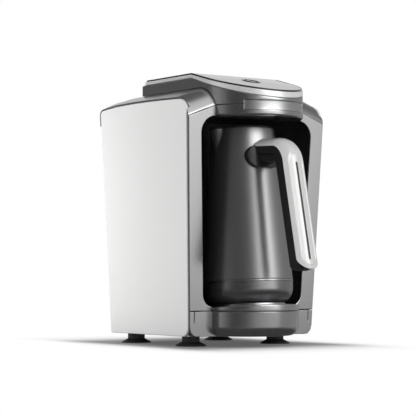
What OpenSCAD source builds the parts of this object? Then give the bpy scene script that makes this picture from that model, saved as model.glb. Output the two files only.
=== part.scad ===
// Electric Turkish coffee maker: free-standing machine with a lift-out pot.
// Millimetres, +Z up. +X is the user's right, the front faces -Y, Z = 0 is the table.
// Inside the modules Y = 0 is the axis of the pot bay; place() moves the whole machine
// so that Y = 0 ends up midway between its foremost and rearmost points.

/* [Body] */
// Width across the side panels at shoulder height
body_w = 161; // [155:1:170]
// Lean of each side wall from upright, degrees
side_lean = 2.2; // [1.8:0.1:2.6]
// Lean of the front face from upright, degrees
front_lean = 2.7; // [2.2:0.1:3.2]
// Lean of the back edges from upright, degrees
back_lean = 2; // [1.5:0.1:2.5]
// Top edge of the side panels above the visor's underside
shoulder_up = 16.5; // [13:0.5:19]
// Height of the underside of the body
base_z = 10; // [9:0.5:12]
// Front face ahead of the bay axis at shoulder height
front_reach = 15.5; // [13.5:0.5:17]
// Back edge of the side panels behind the bay axis at shoulder height
rear_reach = 141; // [136:1:150]
// Thickness of the side panels
panel_t = 3; // [2.5:0.1:3.6]
// Setback of the side panels from the front face
panel_set = 3; // [2.6:0.1:3.6]
// Corner radius of the side panels, top front
panel_r_top = 13.5; // [11:0.5:15]
// Corner radius of the side panels, bottom front
panel_r_bot = 10; // [8:0.5:12]
// Corner radius of the side panels, top rear
panel_r_rear = 5; // [3:0.5:6]
// Fall of the top edge of the side panels toward the rear
panel_drop = 1.4; // [1:0.1:2]
// Wall thickness of the moulded housings
wall = 2.4; // [2:0.1:2.8]
// Seam between neighbouring housings
seam = 0.4; // [0.3:0.05:0.6]

/* [Shoulder cover] */
// Flat crown of the cover above the side panels
crown_up = 12.3; // [10.5:0.1:14]
// Edge of the cover above the side panels
cover_lip = 1.6; // [1.2:0.1:2.2]
// Radius of the front edge of the cover
cover_r = 23; // [20:0.5:25]
// Fall of the cover toward its rear edge
cover_rear_drop = 1.8; // [1:0.1:2.4]
// Length over which the cover falls toward its rear edge
cover_rear_len = 30; // [24:1:34]
// Radius of the rear edge of the cover
cover_rear_r = 6; // [4:0.5:8]
// Depth of the cover's front below its crown
cover_drop = 18.5; // [17:0.5:20]

/* [Pot bay] */
// Width of the frame beside the foot of the mouth
jamb_w = 16; // [15.2:0.1:17]
// Lean of the sides of the mouth from upright, degrees
mouth_lean = 2.6; // [2.2:0.1:2.8]
// Top edge of the mouth above the visor's underside
mouth_rise = 0.8; // [0.5:0.1:1.6]
// Bottom edge of the mouth
mouth_bot = 38; // [37:0.5:39]
// Corner radius of the mouth, top
mouth_r_top = 16; // [13:0.5:18]
// Corner radius of the mouth, bottom
mouth_r_bot = 11; // [9:0.5:13]
// Seam between the front frame and the plinth
plinth_top = 33.6; // [32.5:0.2:34.5]
// Ledge of the plinth's bulge round the widest part of the pot
plinth_ledge = 5.4; // [4.4:0.1:6.4]
// Radius of the lower edge of the bulge
plinth_edge = 9; // [7:0.5:11]
// Height of the rim of the seat deck at the bay axis
deck_z = 37.1; // [36.7:0.1:37.5]
// Height of the seat disc above the deck
seat_h = 2; // [1.5:0.1:2.5]
// Radius of the seat disc
seat_r = 34; // [31:0.5:36]

/* [Head] */
// Width of the head
head_w = 103.4; // [99:0.1:105]
// Back of the head behind the bay axis
head_back = 108; // [104:1:114]
// Clearance between the pot's rim and the visor
headroom = 7.7; // [7:0.1:8.3]
// Height of the visor
visor_h = 11; // [10.5:0.1:11.5]
// Height of the head up to the top of its trim ring
head_h = 43; // [41.5:0.1:44]
// Height of the trim ring along the level part
trim_h = 3.2; // [2.6:0.1:3.8]
// Start of the sloping part, behind the bay axis
bend_y = 23; // [20:0.5:26]
// Slope of the control panel, degrees
panel_slope = 14.7; // [13.5:0.1:15.5]
// Slope of the lower edge of the trim ring, degrees
trim_slope = 16.3; // [15.5:0.1:17]
// Width of the trim ring
trim_w = 3.4; // [3:0.1:4]
// Thickness of the control panel
lens_t = 1.8; // [1.5:0.1:2.2]
// Height of the control panel's rim above the trim ring
lens_up = 1.5; // [1.2:0.1:1.6]
// Radius of the start button
button_r = 8.5; // [7.5:0.1:9.5]
// Distance of the start button ahead of the bay axis
button_y = 3.5; // [1:0.5:6]
// Press of the start button
button_travel = 0.8; // [0.6:0.1:1]
// Clearance round the start button
button_gap = 0.25; // [0.2:0.01:0.3]
// Half angle of the name plate round the nose, degrees
plate_half = 41; // [36:1:44]
// Lower edge of the name plate above the visor's underside
plate_up = 6.3; // [5.8:0.1:6.8]
// Height of the name plate
plate_h = 8.4; // [7.5:0.1:9]
// Thickness of the name plate
plate_t = 1; // [0.8:0.1:1.2]

/* [Pot] */
// Backward tilt of the seat and the pot, degrees
pot_tilt = 4.1; // [3.6:0.1:4.4]
// Height of the pot over its base
pot_h = 168.5; // [165:0.5:169]
// Radius of the pot at its rim
pot_r_top = 30.4; // [29:0.1:31.5]
// Radius of the pot at its lower seam
pot_r_seam = 42.2; // [40.5:0.1:43]
// Wall thickness of the pot
pot_wall = 1.2; // [1:0.1:1.5]
// Height of the base cup
cup_h = 22; // [21:0.5:24]
// Taper of the base cup toward its foot
cup_taper = 1; // [0.5:0.1:2]
// Radius of the lower edge of the base cup
cup_edge = 14; // [12:0.5:15]
// Wall thickness of the base cup
cup_wall = 2.2; // [2:0.1:2.5]
// Radius of the rounded rim
rim_r = 3.2; // [2.6:0.1:4]
// Reach of the pouring lip beyond the rim
lip_out = 8; // [6:0.5:9]
// Radius of the pouring lip
lip_r = 9; // [8:0.5:10]
// Height of the pouring lip
lip_h = 26; // [22:1:30]
// Distance of the pot's foot ahead of the bay axis
pot_fwd = 1.3; // [0.8:0.1:1.8]

/* [Handle] */
// Radius of the handle's bend, over its back
bend_r = 27; // [25:0.5:28]
// Distance of the bend's centre from the pot's axis
bend_out = 56.8; // [55:0.2:59]
// Depth of the bend's centre below the pot's rim
bend_below = 43.3; // [42.5:0.1:45.5]
// Downward slope of the top arm, degrees
arm_dip = 6.5; // [5:0.5:8]
// Outward lean of the grip, degrees
grip_lean = 8.4; // [7.5:0.1:9.5]
// Length of the straight grip
grip_len = 103; // [98:1:106]
// Width of the shell
grip_w = 24; // [22:0.5:25]
// Depth of the shell at its edges
shell_d = 7; // [6.5:0.1:8]
// Thickness of the shell
shell_t = 2; // [1.8:0.1:2.4]
// Depth of the handle core below the shell
core_d = 8; // [7:0.1:9]
// Width of the handle core
core_w = 21; // [19:0.5:21]
// Depth of the inner grip cover
back_d = 7.6; // [7:0.1:8.5]
// Width of the inner grip cover
back_w = 18; // [16:0.5:19]
// Radius of the round end of the grip
end_r = 9.5; // [8:0.5:10.5]
// Width of the root pad on the pot
root_w = 38; // [35:0.5:40]
// Height of the root pad on the pot
root_h = 21; // [20:0.5:22]
// Thickness of the root pad
root_t = 4.6; // [4:0.1:5.2]
// Length of the groove in the shell
slot_len = 92; // [80:1:94]
// Width of the groove in the shell
slot_w = 1.8; // [1.5:0.1:2.2]
// Depth of the groove in the shell
slot_d = 1; // [0.8:0.1:1.3]

/* [Feet] */
// Distance of the feet from the side walls
foot_in = 22; // [18:0.5:26]
// Distance of the front feet from the front face
foot_front_in = 30; // [27:1:35]
// Distance of the rear feet from the back edge
foot_rear_in = 12.3; // [9.3:0.5:21.3]
// Radius of the suction flange
foot_r = 14.6; // [13:0.1:15.5]
// Radius of the foot's neck
foot_neck = 8.4; // [7.6:0.1:9]
// Height of the suction flange
flange_h = 4.2; // [3.6:0.1:4.8]

/* [Connections] */
// Radius of the pot's contact pins
pin_r = 1.5; // [1.3:0.05:1.8]
// Spacing of the contact pins
pin_pitch = 8; // [7.5:0.1:8.5]
// Engagement of the contact pins in the socket
pin_in = 7; // [6:0.5:8]
// Running clearance round the contact pins
pin_gap = 0.1; // [0.08:0.01:0.1]
// Radius of the cord hole in the rear gland
cord_r = 3.5; // [3:0.1:4]
// Radius of the case screws
screw_r = 1.5; // [1.3:0.05:1.7]
// Radius of the heads of the case screws
screw_head = 3; // [2.7:0.1:3.3]
// Height of the heads of the case screws
screw_head_h = 1.8; // [1.6:0.1:2.1]

/* [Hidden] */
$fn = 96;
eps = 0.02;
// how far a corner circle stands over the edges that it joins
bulge = 0.003;
far = 300;
z_lo = -20;
z_hi = 300;
tan_side = tan(side_lean);
tan_front = tan(front_lean);
tan_back = tan(back_lean);
tan_mouth = tan(mouth_lean);
head_r = head_w / 2;
// the pot's frame; the pot clears its seat by slide_gap
seat_top = deck_z + seat_h / cos(pot_tilt);
slide_gap = 0.02;
pot_y = -pot_fwd;
pot_z = seat_top - pot_fwd * -tan(pot_tilt);
// the machine is built up to the height of its pot
visor_z = pot_z + pot_h * cos(pot_tilt) + headroom;
mouth_top = visor_z + mouth_rise;
ceiling_z = visor_z + 2;
head_seam = visor_z + visor_h;
plate_z = visor_z + plate_up;
trim_z = visor_z + head_h;
shoulder_z = visor_z + shoulder_up;
crown_z = shoulder_z + crown_up;
mouth_hw = hw(mouth_bot) - jamb_w;
plinth_r = pot_r_seam + plinth_ledge;
foot_x = hw(base_z) - foot_in;
foot_front = fy(base_z) + foot_front_in;
foot_rear = by(base_z) - foot_rear_in;
cup_r = pot_r_seam - cup_taper;
bend_up = pot_h - bend_below;
// shoulder slope
cover_dip = atan((crown_z - shoulder_z - cover_lip) / (body_w / 2 - head_r));
// bay liner
liner_gap = 1;
liner_t = 2;
// rear cover
rear_out = 8;
rear_top = shoulder_z - 81.5;
rear_inset = 14;
// handle angles
turn = 90 - arm_dip - grip_lean;
turn_0 = 90 + arm_dip;
crown_r = (pow(grip_w / 2, 2) + pow(shell_d, 2)) / (2 * shell_d);
pot_lean = (pot_r_seam - pot_r_top) / (pot_h - cup_h);
// extent of the machine along Y, for the origin
grip_end_s = bend_out + bend_r * cos(grip_lean) + grip_len * sin(grip_lean);
grip_end_t = bend_up + bend_r * sin(grip_lean) - grip_len * cos(grip_lean);
front_end = pot_y - grip_end_s * cos(pot_tilt) + grip_end_t * sin(pot_tilt);
rear_end = rear_reach - (shoulder_z - rear_top) * tan_back + rear_out;
shift_y = -(front_end + rear_end) / 2;

// ---------- helpers ----------

function hw(z) = body_w / 2 - (shoulder_z - z) * tan_side;
function fy(z) = -front_reach + (shoulder_z - z) * tan_front;
function by(z) = rear_reach - (shoulder_z - z) * tan_back;
function mw(z) = mouth_hw + (z - mouth_bot) * tan_mouth;
function unit(v) = v / norm(v);
function wrap(p, i) = p[(i + len(p)) % len(p)];
function bend_angle(p, i) =
  acos(unit(wrap(p, i - 1) - p[i]) * unit(wrap(p, i + 1) - p[i]));
function setback(p, i, r) = r / tan(bend_angle(p, i) / 2);
function arc_mid(p, i, r) =
  p[i] + r / sin(bend_angle(p, i) / 2)
    * unit(unit(wrap(p, i - 1) - p[i]) + unit(wrap(p, i + 1) - p[i]));

// a convex outline with its own radius at each corner
module rounded(p, r) {
  polygon([for (i = [0:len(p) - 1])
    each r[i] <= 0 ? [p[i]] : [
      p[i] + setback(p, i, r[i]) * unit(wrap(p, i - 1) - p[i]),
      p[i] + setback(p, i, r[i]) * unit(wrap(p, i + 1) - p[i])
    ]]);
  for (i = [0:len(p) - 1])
    if (r[i] > 0)
      translate(arc_mid(p, i, r[i])) circle(r = r[i] + bulge);
}

// an outline drawn in X and Z, run along Y
module along_y(y0, y1) {
  translate([0, y1, 0]) rotate([90, 0, 0]) linear_extrude(y1 - y0) children();
}

// an outline drawn in Y and Z, run along X
module along_x(x0, x1) {
  translate([x0, 0, 0]) rotate([90, 0, 90]) linear_extrude(x1 - x0) children();
}

module block(x0, x1, y0, y1, z0, z1) {
  translate([x0, y0, z0]) cube([x1 - x0, y1 - y0, z1 - z0]);
}

module tube(r_out, r_in, h) {
  difference() {
    cylinder(r = r_out, h = h);
    translate([0, 0, -1]) cylinder(r = r_in, h = h + 2);
  }
}

// the space between the leaning side walls, drawn in by d
module sides(d) {
  along_y(-far, far)
    polygon([[d - hw(z_lo), z_lo], [hw(z_lo) - d, z_lo], [hw(z_hi) - d, z_hi], [d - hw(z_hi), z_hi]]);
}

// a slab that follows the leaning front, from f0 to f1 behind its face
module front_slab(f0, f1, z0, z1) {
  along_x(-far, far)
    polygon([[fy(z0) + f0, z0], [fy(z0) + f1, z0], [fy(z1) + f1, z1], [fy(z1) + f0, z1]]);
}

// a slab that follows the leaning back, from b0 to b1 behind the panels' back edges
module back_slab(b0, b1, z0, z1) {
  along_x(-far, far)
    polygon([[by(z0) + b0, z0], [by(z0) + b1, z0], [by(z1) + b1, z1], [by(z1) + b0, z1]]);
}

// outline of a side panel, grown by g
module panel_outline(g) {
  rounded(
    [[fy(base_z - g) + panel_set - g, base_z - g], [by(base_z - g) + g, base_z - g],
     [by(shoulder_z) + g, shoulder_z - panel_drop + g], [by(shoulder_z) - cover_rear_len, shoulder_z + g],
     [fy(shoulder_z + g) + panel_set - g, shoulder_z + g]],
    [panel_r_bot + g, 0, panel_r_rear + g, 0, panel_r_top + g]);
}

// the space that both side panels keep clear
module panel_room() {
  difference() {
    along_x(-far, far) panel_outline(seam);
    sides(panel_t + seam);
  }
}

// lower edge of the cover, and upper edge of the frame, at distance x
function cover_seam(x) =
  crown_z - cover_drop - max(0, abs(x) - head_r) * tan(cover_dip);

// everything above (d > 0 lowers it) the seam between cover and frame
module above_seam(d) {
  along_y(-far, far)
    polygon([
      [-far, cover_seam(far) - d], [-head_r, crown_z - cover_drop - d],
      [head_r, crown_z - cover_drop - d], [far, cover_seam(far) - d],
      [far, z_hi], [-far, z_hi]
    ]);
}

module cover_outline(d) {
  rounded(
    [[fy(crown_z - cover_r) + d, -far], [by(crown_z) - d, -far],
     [by(crown_z) - d, crown_z - cover_rear_drop - d], [by(crown_z) - cover_rear_len, crown_z - d],
     [fy(crown_z - cover_r) + d, crown_z - d]],
    [0, 0, cover_rear_r - d, 0, cover_r - d]);
}

// the solid of the shoulders, drawn in by d
module shoulders(d) {
  intersection() {
    along_x(-far, far) cover_outline(d);
    intersection_for (s = [0, 1])
      mirror([s, 0, 0])
        translate([head_r, 0, crown_z])
          rotate([0, cover_dip, 0])
            translate([0, 0, -crown_z])
              along_x(-far, far) cover_outline(d);
  }
}

// plan of the head, drawn in by d
module head_plan(d, back) {
  circle(r = head_r - d);
  translate([-head_r + d, 0]) square([head_w - 2 * d, back - d]);
}

module head_column(d, z0, z1, back = head_back) {
  translate([0, 0, z0]) linear_extrude(z1 - z0) head_plan(d, back);
}

// everything below a line that is level at z and falls by a from bend_y forward
module under_slope(z, a) {
  along_x(-far, far)
    polygon([[-far, z_lo], [far, z_lo], [far, z], [bend_y, z], [-far, z - (bend_y + far) * tan(a)]]);
}

// the control panel's own frame: origin at the bend, X right, Y up the slope
module on_panel(up) {
  translate([0, bend_y, trim_z]) rotate([panel_slope, 0, 0]) translate([0, 0, up]) children();
}
button_v = -(bend_y + button_y) / cos(panel_slope);

module place() {
  translate([0, shift_y, 0]) children();
}

// the pot's frame: origin at the foot of its axis
module on_seat() {
  translate([0, pot_y, pot_z]) rotate([-pot_tilt, 0, 0]) children();
}

// ---------- base ----------

pan_front = 12;
pan_h = 22;
boss_r = 6;

module base_pan() color("#3a3d42") place() {
  difference() {
    intersection() {
      sides(panel_t + seam);
      back_slab(-far, -wall, base_z, base_z + pan_h);
      block(-far, far, pan_front, far, base_z, base_z + pan_h);
    }
    difference() {
      intersection() {
        sides(panel_t + seam + wall);
        back_slab(-far, -2 * wall, base_z, z_hi);
        block(-far, far, pan_front + wall, far, base_z + wall, z_hi);
      }
      for (x = [-foot_x, foot_x], y = [foot_front, foot_rear])
        translate([x, y, base_z]) cylinder(r = boss_r, h = 9);
      for (x = [-board_x, board_x], y = board_ys)
        translate([x, y, base_z]) cylinder(r = 3.5, h = board_z - base_z);
    }
    for (x = [-foot_x, foot_x], y = [foot_front, foot_rear])
      translate([x, y, base_z - 1]) {
        cylinder(r = foot_spigot + fit_gap, h = 5);
        cylinder(r = screw_r, h = 14);
      }
    for (x = [-board_x, board_x], y = board_ys)
      translate([x, y, board_z - 7]) cylinder(r = pilot_r, h = 8);
    for (x = [-rear_screw_x, rear_screw_x])
      rear_hole(x, rear_screw_z[0], pilot_r);
    // the deck and the liner pass over the front wall
    translate([0, 0, deck_floor - seam]) cylinder(r = liner_foot_r + liner_t + seam, h = pan_h);
  }
}
foot_spigot = 5;
fit_gap = 0.1;
pilot_r = screw_r;
board_x = foot_x - 6;
board_ys = [foot_rear - 47, foot_rear - 3];
board_z = base_z + 13;
board_t = 1.6;

// one suction foot, its sole on the table
module foot(x, y) {
  translate([x, y, 0]) difference() {
    union() {
      cylinder(r = foot_r, h = 1);
      translate([0, 0, 1]) cylinder(r1 = foot_r, r2 = foot_neck, h = flange_h - 1);
      cylinder(r = foot_neck, h = base_z);
      cylinder(r = foot_spigot, h = base_z + 3.6);
    }
    translate([0, 0, -eps]) cylinder(r1 = foot_r - 2.2, r2 = foot_neck - 2, h = 2.2);
    translate([0, 0, -1]) cylinder(r = screw_r, h = base_z + 6);
    translate([0, 0, -1]) cylinder(r = screw_head + fit_gap, h = foot_head_z + 1);
  }
}
foot_head_z = 4.6;

module foot_front_left() color("#1d1e20") place() foot(-foot_x, foot_front);
module foot_front_right() color("#1d1e20") place() foot(foot_x, foot_front);
module foot_rear_left() color("#1d1e20") place() foot(-foot_x, foot_rear);
module foot_rear_right() color("#1d1e20") place() foot(foot_x, foot_rear);

// a pan-head screw with its head's top at the origin, shank up
module screw(len) {
  cylinder(r = screw_r, h = len);
  difference() {
    cylinder(r = screw_head, h = screw_head_h);
    translate([0, 0, -1]) cylinder(r = screw_head / 3, h = 1 + screw_head_h / 2, $fn = 6);
  }
}

module foot_screws() color("#b9bdc3") place()
  for (x = [-foot_x, foot_x], y = [foot_front, foot_rear])
    translate([x, y, foot_head_z - screw_head_h]) screw(16);

skirt_r = plinth_r - 1.6;

// the bulge of the plinth up to z1, drawn in by d
module nose(d, z1) {
  rotate_extrude()
    intersection() {
      rounded([[-plinth_r, base_z + d], [plinth_r - d, base_z + d], [plinth_r - d, z1], [-plinth_r, z1]],
              [0, plinth_edge - d, 0, 0]);
      square([far, far]);
    }
}

// what the round lower corner takes off the front
module plinth_corner() {
  difference() {
    block(hw(base_z) - seam - corner_r, far, -far, 0, 0, base_z + corner_r);
    translate([hw(base_z) - seam - corner_r, 0, base_z + corner_r]) rotate([90, 0, 0])
      cylinder(r = corner_r, h = 2 * far, center = true);
  }
}
corner_r = 8;

module plinth() color("#6d7076") place() {
  difference() {
    union() {
      // straight part across the front
      intersection() {
        sides(seam);
        front_slab(0, far, base_z, plinth_top - seam / 2);
        block(-far, far, -far, pan_front - seam, base_z, plinth_top);
      }
      // round bulge under the pot
      difference() {
        nose(0, plinth_top - seam / 2);
        front_slab(wall, far, z_lo, z_hi);
      }
    }
    panel_room();
    // hollow
    intersection() {
      sides(panel_t + seam + wall);
      front_slab(wall, far, base_z + wall, z_hi);
      block(-far, far, -far, far, base_z + wall, z_hi);
    }
    nose(wall, z_hi);
    // round lower corners of the front
    for (s = [0, 1])
      mirror([s, 0, 0]) plinth_corner();
    // behind the front zone everything belongs to the pan
    block(-far, far, pan_front - seam, far, 0, z_hi);
    // short upright seams by the outer corners
    for (s = [-1, 1])
      translate([s * (hw(base_z) - 5), fy(base_z) - 1, plinth_top - 11])
        block(-0.25, 0.25, -1, 2, 0, 12);
  }
}

// plane of the deck, tilted like the pot
module deck_below(up) {
  translate([0, 0, deck_z + up]) rotate([-pot_tilt, 0, 0])
    translate([-far, -far, -far]) cube([2 * far, 2 * far, far]);
}

module seat_deck() color("#6d7076") place() {
  difference() {
    union() {
      // ledge over the plinth and floor of the bay
      intersection() {
        deck_below(0);
        deck_plan(0);
      }
      // flange that carries the liner
      intersection() {
        translate([0, 0, deck_floor]) cylinder(r = liner_foot_r + liner_t, h = wall);
        block(-far, far, pan_front + 2 * wall, far, 0, z_hi);
      }
    }
    // hollow underside, with a solid pad under the contact block
    difference() {
      intersection() {
        deck_below(-wall);
        deck_plan(wall);
      }
      on_seat() block(-block_w / 2 - wall, block_w / 2 + wall, block_s - 2 * wall, far, -far, far);
    }
    block_pocket();
    on_seat() translate([0, 0, -seat_h - 20]) cylinder(r = lead_r, h = 30);
  }
  // skirt that stands on the pan
  difference() {
    intersection() {
      translate([0, 0, base_z + wall]) tube(skirt_r, skirt_r - wall, deck_z - base_z - wall);
      block(-far, far, pan_front + wall + seam, far, 0, z_hi);
      deck_below(-wall / 2);
    }
    block_pocket();
  }
}

module block_pocket() {
  on_seat() block(-block_w / 2 - seam, block_w / 2 + seam, block_s - seam, far, block_bot, far);
}

// plan of the deck, drawn in by d and open below where it is drawn in
module deck_plan(d) {
  translate([0, 0, plinth_top - seam / 2 - d]) cylinder(r = plinth_r - d, h = 20);
  intersection() {
    translate([0, 0, deck_floor - d]) cylinder(r = liner_foot_r - seam - d, h = 30);
    front_slab(wall + seam + d, far, 0, z_hi);
  }
}
lead_r = 4;
deck_floor = deck_z - 10.1;
liner_foot_r = mw(deck_floor) + liner_gap;

module seat_disc() color("#c9ccd0") place() on_seat()
  translate([0, 0, -seat_h])
    difference() {
      cylinder(r = seat_r, h = seat_h - slide_gap);
      for (r = [0.4 * seat_r, 0.7 * seat_r])
        translate([0, 0, seat_h - 0.5]) tube(r + 1, r - 1, 2);
      translate([0, 0, -1]) cylinder(r = lead_r, h = 9);
    }

// ---------- bay ----------

module liner_cone(d, z0, z1) {
  translate([0, 0, z0])
    cylinder(r1 = mw(z0) + liner_gap + d, r2 = mw(z1) + liner_gap + d, h = z1 - z0);
}

liner_foot = deck_floor + wall;
module cavity_liner() color("#17181a") place() {
  difference() {
    intersection() {
      liner_cone(liner_t, liner_foot, ceiling_z + liner_t);
      front_slab(wall, far, 0, z_hi);
    }
    liner_cone(0, liner_foot - 1, ceiling_z);
    // sensor window
    translate([0, sensor_y, ceiling_z - 1]) cylinder(r = sensor_r + fit_gap, h = 9);
    // contact block
    on_seat() block(-block_w / 2 - seam, block_w / 2 + seam, block_s, far, -16, block_top + seam);
  }
}
sensor_y = 8;
sensor_r = 7;

module mouth() {
  along_y(-far, far)
    rounded(
      [[-mw(mouth_bot), mouth_bot], [mw(mouth_bot), mouth_bot],
       [mw(mouth_top), mouth_top], [-mw(mouth_top), mouth_top]],
      [mouth_r_bot, mouth_r_bot, mouth_r_top, mouth_r_top]);
}

frame_depth = 16;
module front_frame() color("#8b8e93") place() {
  difference() {
    intersection() {
      sides(seam);
      front_slab(0, frame_depth, plinth_top + seam / 2, z_hi);
    }
    panel_room();
    above_seam(seam);
    mouth();
    // hollow behind the face
    intersection() {
      sides(panel_t + seam + wall);
      front_slab(wall, far, 0, z_hi);
    }
    // ledge of the seat deck
    translate([0, 0, plinth_top - 9]) cylinder(r = plinth_r + seam, h = mouth_r_bot + 9);
  }
}

// ---------- housings ----------

module side_panel() {
  difference() {
    intersection() {
      sides(0);
      along_x(-far, far) panel_outline(0);
    }
    sides(panel_t);
    block(-far, 0, -far, far, -far, far);
  }
  // ribs on the inner face, and the pad that lies against the pan
  intersection() {
    difference() {
      sides(panel_t / 2);
      sides(panel_t + rib_h);
    }
    union()
      for (y = rib_ys)
        block(0, far, y, y + 2, rib_z0, rib_z1);
  }
  intersection() {
    difference() {
      sides(panel_t / 2);
      sides(panel_t + seam);
    }
    block(0, far, rib_ys[0], rib_ys[1], base_z + 3, base_z + pan_h - 3);
  }
}
rib_ys = [30, 110];
rib_z0 = 70;
rib_z1 = shoulder_z - 41.5;
rib_h = 2.5;

module side_panel_left() color("#f2f2ef") place() mirror([1, 0, 0]) side_panel();
module side_panel_right() color("#f2f2ef") place() side_panel();

module top_cover() color("#74777c") place() {
  difference() {
    intersection() {
      shoulders(0);
      sides(0);
      above_seam(0);
    }
    panel_room();
    intersection() {
      shoulders(wall);
      sides(panel_t + seam + wall);
    }
    // wires from the head
    translate([0, 0, crown_z - wall - 1]) linear_extrude(wall + 2)
      translate([-16, 40]) square([32, 24]);
    for (x = [-head_screw_x, head_screw_x])
      translate([x, head_screw_y, crown_z - wall - 1]) cylinder(r = screw_r + fit_gap, h = wall + 2);
  }
  // tabs for the upper screws of the rear cover
  difference() {
    intersection() {
      back_slab(-2 * wall, -wall, tab_z, z_hi);
      shoulders(wall / 2);
      union()
        for (s = [-1, 1])
          translate([s * rear_screw_x, 0, 0]) block(-tab_w / 2, tab_w / 2, 0, far, tab_z, z_hi);
    }
    for (x = [-rear_screw_x, rear_screw_x])
      rear_hole(x, rear_screw_z[1], pilot_r);
  }
}
tab_z = shoulder_z - 32.5;
tab_w = 10;
head_screw_x = 34;
head_screw_y = 84;

// a hole square to the leaning back
module rear_hole(x, z, r) {
  translate([x, by(z), z]) rotate([-90 - back_lean, 0, 0]) translate([0, 0, -12]) cylinder(r = r, h = 40);
}

module rear_vents() {
  for (i = [0:6])
    block(-vent_hw, vent_hw, 0, far, vent_z + 7 * i, vent_z + 7 * i + vent_h);
}

module rear_cover() color("#4a4d52") place() {
  difference() {
    union() {
      difference() {
        intersection() {
          sides(panel_t + seam);
          back_slab(-wall, 0, base_z, z_hi);
        }
        above_seam(seam);
      }
      intersection() {
        sides(rear_inset);
        back_slab(-wall, rear_out, base_z + 5, rear_top);
      }
    }
    intersection() {
      sides(rear_inset + wall);
      back_slab(-far, rear_out - wall, base_z + 5 + wall, rear_top - wall);
    }
    rear_vents();
    rear_hole(cord_x, cord_z, gland_r + fit_gap);
    for (x = [-rear_screw_x, rear_screw_x], z = rear_screw_z)
      rear_hole(x, z, screw_r + fit_gap);
  }
}
vent_hw = foot_x - 20;
vent_z = 92;
vent_h = 2.4;
cord_x = foot_x - 12;
cord_z = 34;
gland_r = 6;
rear_screw_x = foot_x + 13;
rear_screw_z = [24, shoulder_z - 25.5];

module case_screws() color("#b9bdc3") place() {
  for (x = [-rear_screw_x, rear_screw_x], z = rear_screw_z)
    translate([x, by(z), z]) rotate([90 - back_lean, 0, 0]) translate([0, 0, -screw_head_h]) screw(10);
  for (x = [-head_screw_x, head_screw_x])
    translate([x, head_screw_y, crown_z - wall - screw_head_h]) screw(10);
}

module cord_gland() color("#1d1e20") place()
  translate([cord_x, by(cord_z), cord_z]) rotate([-90 - back_lean, 0, 0])
    translate([0, 0, rear_out * cos(back_lean)]) difference() {
      union() {
        translate([0, 0, -wall - 6]) cylinder(r = gland_r, h = wall + 6);
        cylinder(r = gland_r + 2, h = 3);
        translate([0, 0, -wall - 6 - 1]) cylinder(r = gland_r - 1, h = 2);
      }
      translate([0, 0, -20]) cylinder(r = cord_r, h = 40);
    }

// ---------- head ----------

module head_housing() color("#74777c") place() {
  difference() {
    head_column(0, head_seam + seam / 2, z_hi);
    // the upper edge, with a step that carries the trim ring
    difference() {
      block(-far, far, -far, far, z_lo, z_hi);
      under_slope(trim_z - trim_h - seam, trim_slope);
      intersection() {
        head_column(wall / 2, 0, z_hi);
        under_slope(trim_z - trim_h, trim_slope);
      }
    }
    difference() {
      head_column(wall, 0, z_hi);
      // roof strip behind the trim ring
      block(-far, far, head_back - trim_back - trim_w, far, trim_z - trim_h - seam - wall, z_hi);
      // rails under the control board
      on_panel(-board_down - board_t - rail_h)
        block(-far, far, board_hole_v - 2, board_hole_v + 2, 0, rail_h);
      on_panel(-board_down - board_t - wall) block(-far, far, -10, -6, 0, wall);
    }
    shoulders(-seam);
    front_keep();
    plate_room(seam / 2);
    for (x = [-board_hole_x, board_hole_x])
      on_panel(-far) translate([x, board_hole_v, 0]) cylinder(r = pilot_r, h = far);
  }
  // screw posts that stand on the shoulder cover, with their ribs
  for (s = [0, 1])
    mirror([s, 0, 0])
      difference() {
        union() {
          translate([head_screw_x, head_screw_y, crown_z]) cylinder(r = post_r, h = post_h);
          block(head_screw_x, head_r - wall / 2, head_screw_y - 1, head_screw_y + 1,
                crown_z + seam, crown_z + post_h);
        }
        translate([head_screw_x, head_screw_y, crown_z - 1]) cylinder(r = pilot_r, h = post_h);
      }
}
post_r = 3.6;
post_h = 8.4;
rail_h = 4;
trim_back = 5;
key_board_w = 66;
key_board_l = 53;
key_board_v = -57;
board_hole_x = key_board_w / 2 - 4;
board_hole_v = key_board_v + 4;

// space behind the front face, which the nose keeps clear
module front_keep() {
  front_slab(-seam, 60, 100, crown_z - cover_r + 2);
}

module visor() color("#74777c") place() {
  difference() {
    union() {
      head_column(0, visor_z, head_seam - seam / 2);
      // step that meets the head housing inside the seam
      head_column(wall / 2, visor_z, head_seam + seam / 2);
    }
    head_column(wall, visor_z + wall, z_hi);
    front_slab(-seam, far, 100, z_hi);
    plate_room(seam / 2);
  }
}

// arc-shaped recess for the name plate
module plate_room(g) {
  translate([0, 0, plate_z - g])
    intersection() {
      tube(head_r + 5, head_r - plate_t, plate_h + 2 * g);
      plate_wedge(plate_half + g, plate_h + 2 * g);
    }
}

module plate_wedge(a, h) {
  linear_extrude(h)
    polygon([[0, 0], [-head_w * sin(a), -head_w * cos(a)], [-head_w * sin(a), -2 * head_w],
             [head_w * sin(a), -2 * head_w], [head_w * sin(a), -head_w * cos(a)]]);
}

module name_plate() color("#9da0a5") place()
  translate([0, 0, plate_z])
    intersection() {
      tube(head_r - 0.2, head_r - plate_t, plate_h);
      plate_wedge(plate_half, plate_h);
    }

module trim_ring() color("#e9eaec") place() {
  difference() {
    intersection() {
      head_column(0, 0, z_hi, head_back - trim_back);
      under_slope(trim_z, panel_slope);
    }
    under_slope(trim_z - trim_h, trim_slope);
    head_column(trim_w, 0, z_hi, head_back - trim_back);
  }
}

module control_panel() color("#202226") place() {
  difference() {
    intersection() {
      head_column(lens_in, 0, z_hi, head_back - trim_back);
      under_slope(trim_z + lens_up, panel_slope);
    }
    under_slope(trim_z, panel_slope);
    on_panel(-5) translate([0, button_v, 0]) cylinder(r = button_r + button_gap, h = 12);
  }
}
lens_in = 0.8;

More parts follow.
